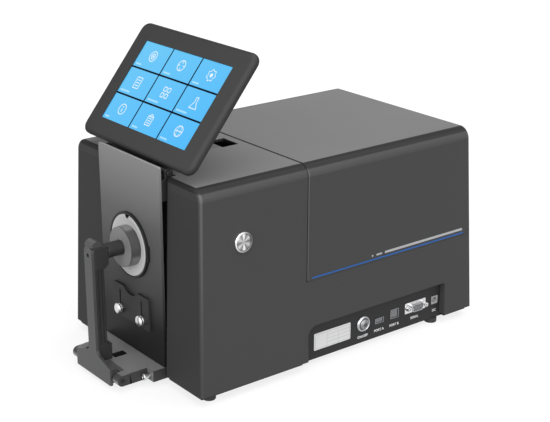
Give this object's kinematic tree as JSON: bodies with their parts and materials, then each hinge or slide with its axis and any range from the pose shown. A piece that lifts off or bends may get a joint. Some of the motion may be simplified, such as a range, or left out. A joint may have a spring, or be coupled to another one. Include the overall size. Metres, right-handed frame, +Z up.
{
  "type": "benchtop spectrophotometer",
  "caption": "Benchtop sphere spectrophotometer: drafted case, tilting touch display, sprung sample clamp on a front port, sliding hood over a transmission compartment, side connectors.",
  "frame": {"origin": "centre of the bounding box on the bench, under the feet", "axes": "+Z up, the front with the sample port faces -Y, +X is the instrument's right seen from behind it, the side with the connectors"},
  "size_m": [0.244, 0.42, 0.3358],
  "materials": {
    "textured_charcoal": "fine matt texture",
    "satin_charcoal": "satin",
    "black": "matt",
    "light_grey_label": "satin",
    "white_reflecting": "dead matt white inside",
    "board": "solder-masked board",
    "black_anodised": "satin anodised",
    "grey_anodised": "satin anodised",
    "light": "satin",
    "turned": "circular brushed",
    "grey_painted": "satin paint",
    "bright": "plated",
    "steel": "plain",
    "foot_rubber": "matt",
    "screen": "gloss",
    "clear": "gloss"
  },
  "bodies": {
    "case": {"aperture_mask": "light", "base_tray": "grey_painted", "bracket_screw_left": "steel", "bracket_screw_right": "steel", "clamp_bracket": "grey_anodised", "clamp_pin": "steel", "clamp_spring_left": "steel", "clamp_spring_right": "steel", "compartment_floor": "black_anodised", "connector_board": "board", "connector_label": "light_grey_label", "dc_jack": "black", "display_ribbon": "black", "foot_front_left": "foot_rubber", "foot_front_right": "foot_rubber", "foot_rear_left": "foot_rubber", "foot_rear_right": "foot_rubber", "front_plate": "grey_anodised", "hinge_base": "black", "hinge_pin": "steel", "lamp_housing": "black", "lamp_tube": "clear", "main_board": "board", "main_housing": "textured_charcoal", "measure_button_ring": "turned", "port_bezel": "black", "power_button_ring": "turned", "receiver_barrel": "black", "receiver_housing": "satin_charcoal", "sample_holder": "black", "serial_insert": "black", "serial_shell": "bright", "serial_standoff_front": "bright", "serial_standoff_rear": "bright", "spectrometer": "black_anodised", "sphere_cradle": "grey_anodised", "sphere_front_half": "white_reflecting", "sphere_rear_half": "white_reflecting", "usb_a_socket": "bright", "usb_b_socket": "black", "viewing_barrel": "black", "viewing_lens": "clear"},
    "display": {"display_leaf": "grey_painted", "display_back": "satin_charcoal", "display_bezel": "satin_charcoal", "touch_screen": "screen", "display_module": "black"},
    "sliding_hood": {"hood": "textured_charcoal"},
    "clamp_arm": {"clamp_front_bar": "grey_anodised", "clamp_spine": "black_anodised", "clamp_head": "black_anodised", "presser_cup": "grey_anodised", "presser_rod": "black_anodised", "rod_screw": "bright"},
    "rest_plate": {"sample_rest": "grey_anodised"},
    "left_thumbscrew": {"thumbscrew_left": "steel"},
    "right_thumbscrew": {"thumbscrew_right": "steel"},
    "measure_key": {"measure_button": "turned"},
    "power_key": {"power_button": "turned"}
  },
  "joints": [
    {"name": "display_tilt", "type": "hinge", "parent": "case", "child": "display", "pos_m": [0, -0.148, 0.223], "axis": [1, 0, 0], "range_deg": [-51, 18]},
    {"name": "clamp_swing", "type": "hinge", "parent": "case", "child": "clamp_arm", "pos_m": [0, -0.2025, 0.0122], "axis": [1, 0, 0], "range_deg": [0, 85], "stiffness_Nm_per_rad": 0.16, "springref_deg": -68.75, "deforming": ["clamp_spring_left", "clamp_spring_right"]},
    {"name": "rest_slide", "type": "slide", "parent": "case", "child": "rest_plate", "axis": [0, 0, 1], "range_m": [-0.02, 0]},
    {"name": "left_thumbscrew_turn", "type": "hinge", "parent": "case", "child": "left_thumbscrew", "pos_m": [-0.0204, -0.1631, 0.059], "axis": [0, -1, 0], "continuous": true},
    {"name": "right_thumbscrew_turn", "type": "hinge", "parent": "case", "child": "right_thumbscrew", "pos_m": [0.0204, -0.1631, 0.059], "axis": [0, -1, 0], "continuous": true},
    {"name": "hood_slide", "type": "slide", "parent": "case", "child": "sliding_hood", "axis": [0, 1, 0], "range_m": [0, 0.1]},
    {"name": "measure_press", "type": "slide", "parent": "case", "child": "measure_key", "axis": [-0.9993, 0, -0.0381], "range_m": [0, 0.0012], "stiffness_N_per_m": 800, "springref_m": -0.001},
    {"name": "power_press", "type": "slide", "parent": "case", "child": "power_key", "axis": [-1, 0, 0], "range_m": [0, 0.0015], "stiffness_N_per_m": 800, "springref_m": -0.001}
  ]
}
